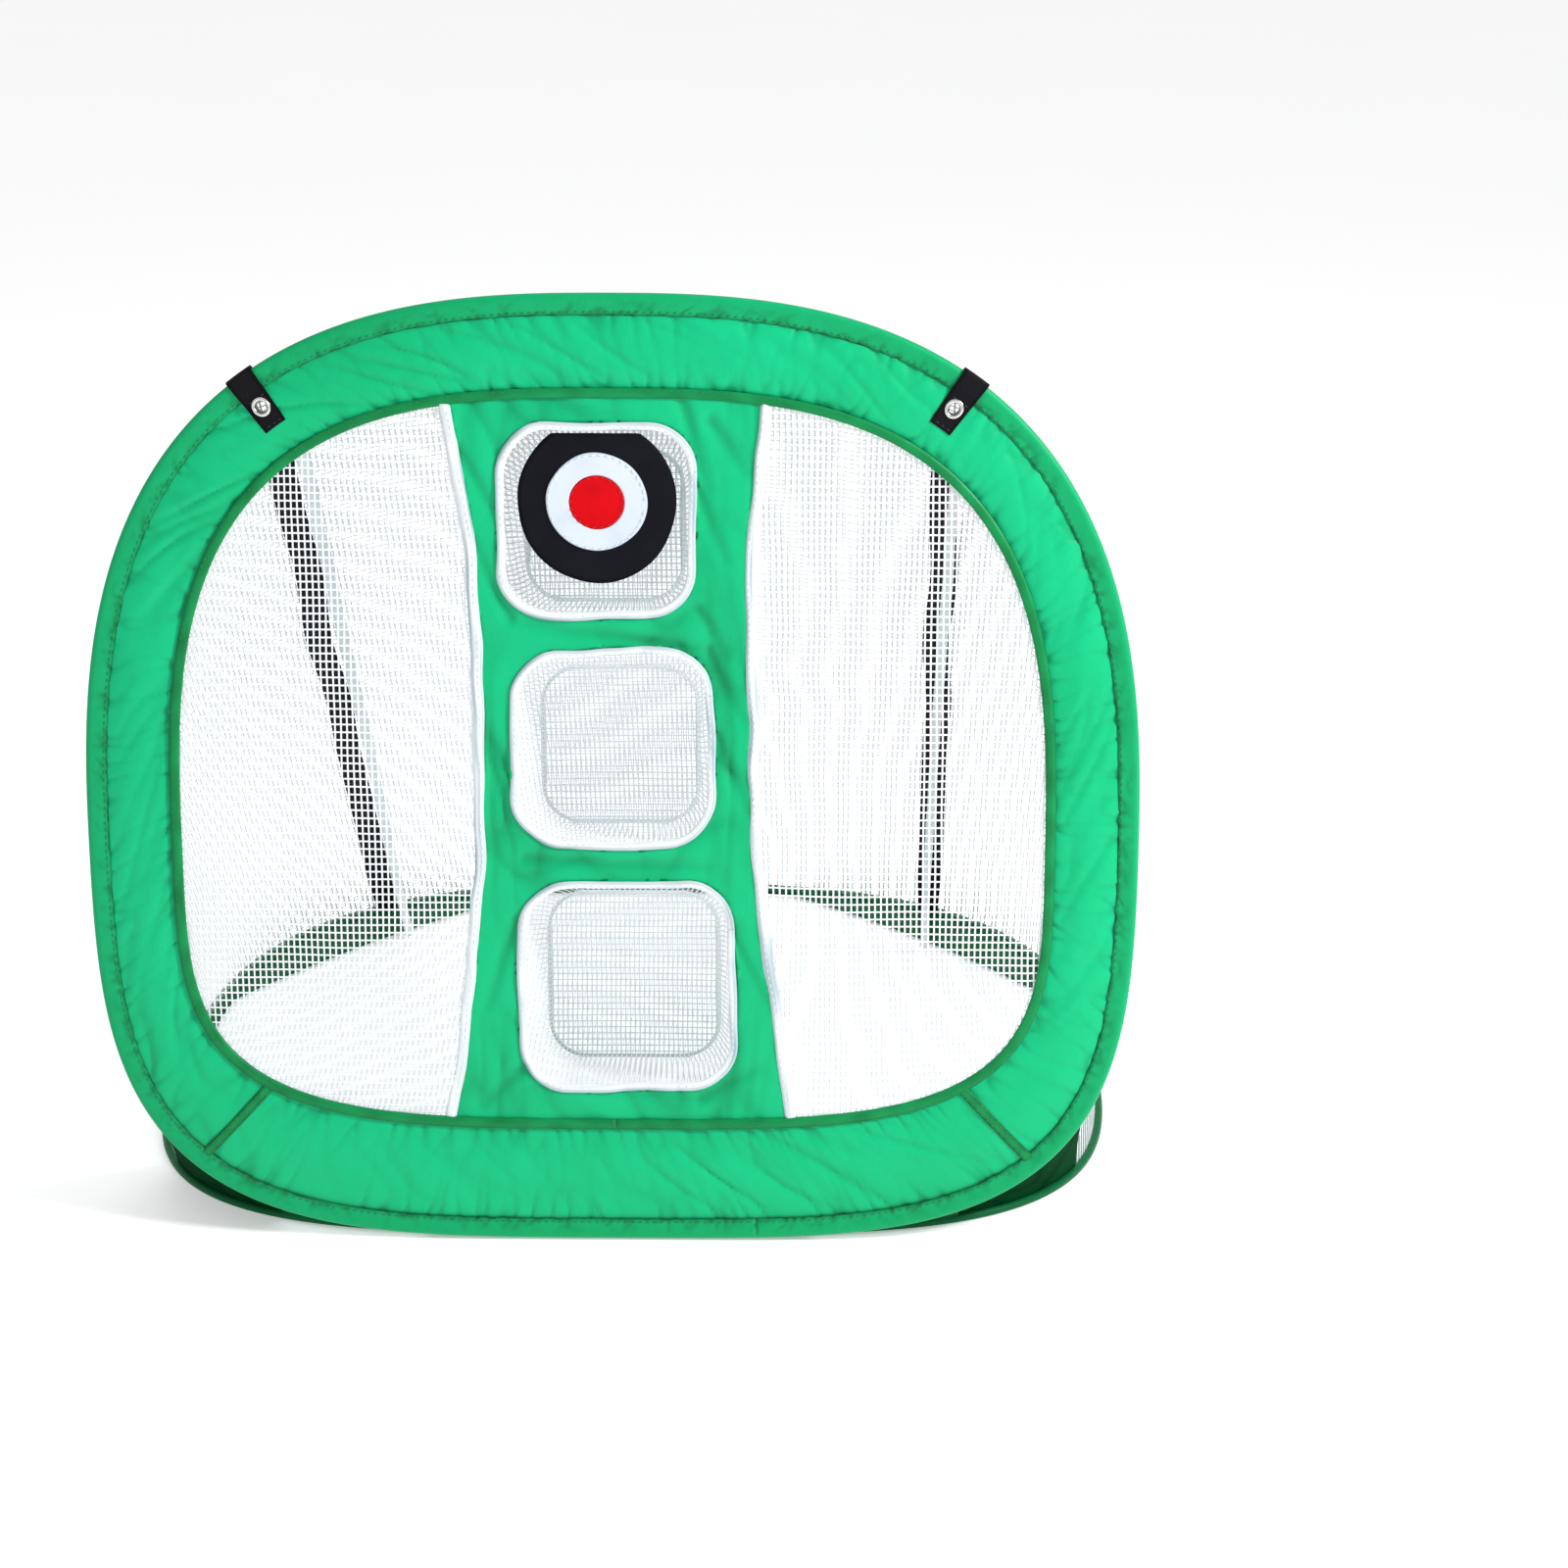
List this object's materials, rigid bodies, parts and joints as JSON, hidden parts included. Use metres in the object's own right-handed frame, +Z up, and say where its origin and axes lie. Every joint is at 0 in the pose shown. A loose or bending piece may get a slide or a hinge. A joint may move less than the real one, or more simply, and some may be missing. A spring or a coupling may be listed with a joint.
{
  "type": "golf chipping net",
  "caption": "Pop-up golf chipping net: a hooped target panel with mesh pockets and a swinging bullseye, standing on an equal ground hoop with mesh sides.",
  "frame": {"origin": "on the ground under the middle of the ground hoop's front edge", "axes": "+X to the right seen by the player, +Y away from the player, +Z up"},
  "size_m": [0.735, 0.6879, 0.6787],
  "materials": {
    "green_cloth": "coated polyester cloth with a soft sheen",
    "green_seam": "doubled cloth binding, matte",
    "white_mesh": "knitted polyester net, matte",
    "white_tape": "woven edge tape, matte",
    "black_webbing": "woven polypropylene webbing",
    "black_cloth": "napped cloth, matte",
    "white_cloth": "napped cloth, matte",
    "red_cloth": "napped cloth, matte",
    "spring_steel": "drawn spring wire",
    "nickel": "nickel plated"
  },
  "bodies": {
    "base": {"ground_hoop_wire": "spring_steel", "ground_wire_joiner": "nickel", "ground_sleeve": "green_seam", "floor_net": "white_mesh", "ground_corner_right": "green_seam", "ground_corner_left": "green_seam", "fold_seam": "green_seam", "front_gore_right": "green_seam", "front_gore_left": "green_seam", "side_net_right": "white_mesh", "side_net_left": "white_mesh", "rear_net": "white_mesh", "strap_right": "black_webbing", "strap_left": "black_webbing", "net_seam_tape_right": "white_tape", "net_seam_tape_left": "white_tape"},
    "front": {"front_hoop_wire": "spring_steel", "front_wire_joiner": "nickel", "front_sleeve": "green_cloth", "border_arch": "green_cloth", "border_foot": "green_cloth", "border_binding": "green_seam", "mitre_seam_right": "green_seam", "mitre_seam_left": "green_seam", "target_panel": "green_cloth", "panel_tape_right": "white_tape", "panel_tape_left": "white_tape", "window_net_right": "white_mesh", "window_net_left": "white_mesh", "hole_tape_top": "white_tape", "hole_tape_middle": "white_tape", "hole_tape_bottom": "white_tape", "pocket_net_top": "white_mesh", "pocket_net_middle": "white_mesh", "pocket_net_bottom": "white_mesh", "strap_tab_right": "black_webbing", "strap_tab_left": "black_webbing", "eyelet_right": "nickel", "eyelet_left": "nickel", "eyelet_washer_right": "nickel", "eyelet_washer_left": "nickel"},
    "bullseye": {"bullseye_backing": "black_cloth", "bullseye_white_ring": "white_cloth", "bullseye_red_centre": "red_cloth"}
  },
  "joints": [
    {"name": "front_fold", "type": "hinge", "parent": "base", "child": "front", "pos_m": [0, -0.009, 0.006], "axis": [-1, 0, 0], "range_deg": [0, 78], "stiffness_Nm_per_rad": 0.8, "springref_deg": -17.19, "deforming": ["front_gore_right", "front_gore_left", "side_net_right", "side_net_left", "rear_net", "strap_right", "strap_left", "net_seam_tape_right", "net_seam_tape_left", "pocket_net_top", "pocket_net_middle", "pocket_net_bottom"]},
    {"name": "bullseye_swing", "type": "hinge", "parent": "front", "child": "bullseye", "pos_m": [-0.0085, 0.03826, 0.584], "axis": [-1, 0, 0], "range_deg": [-30, 80]}
  ]
}
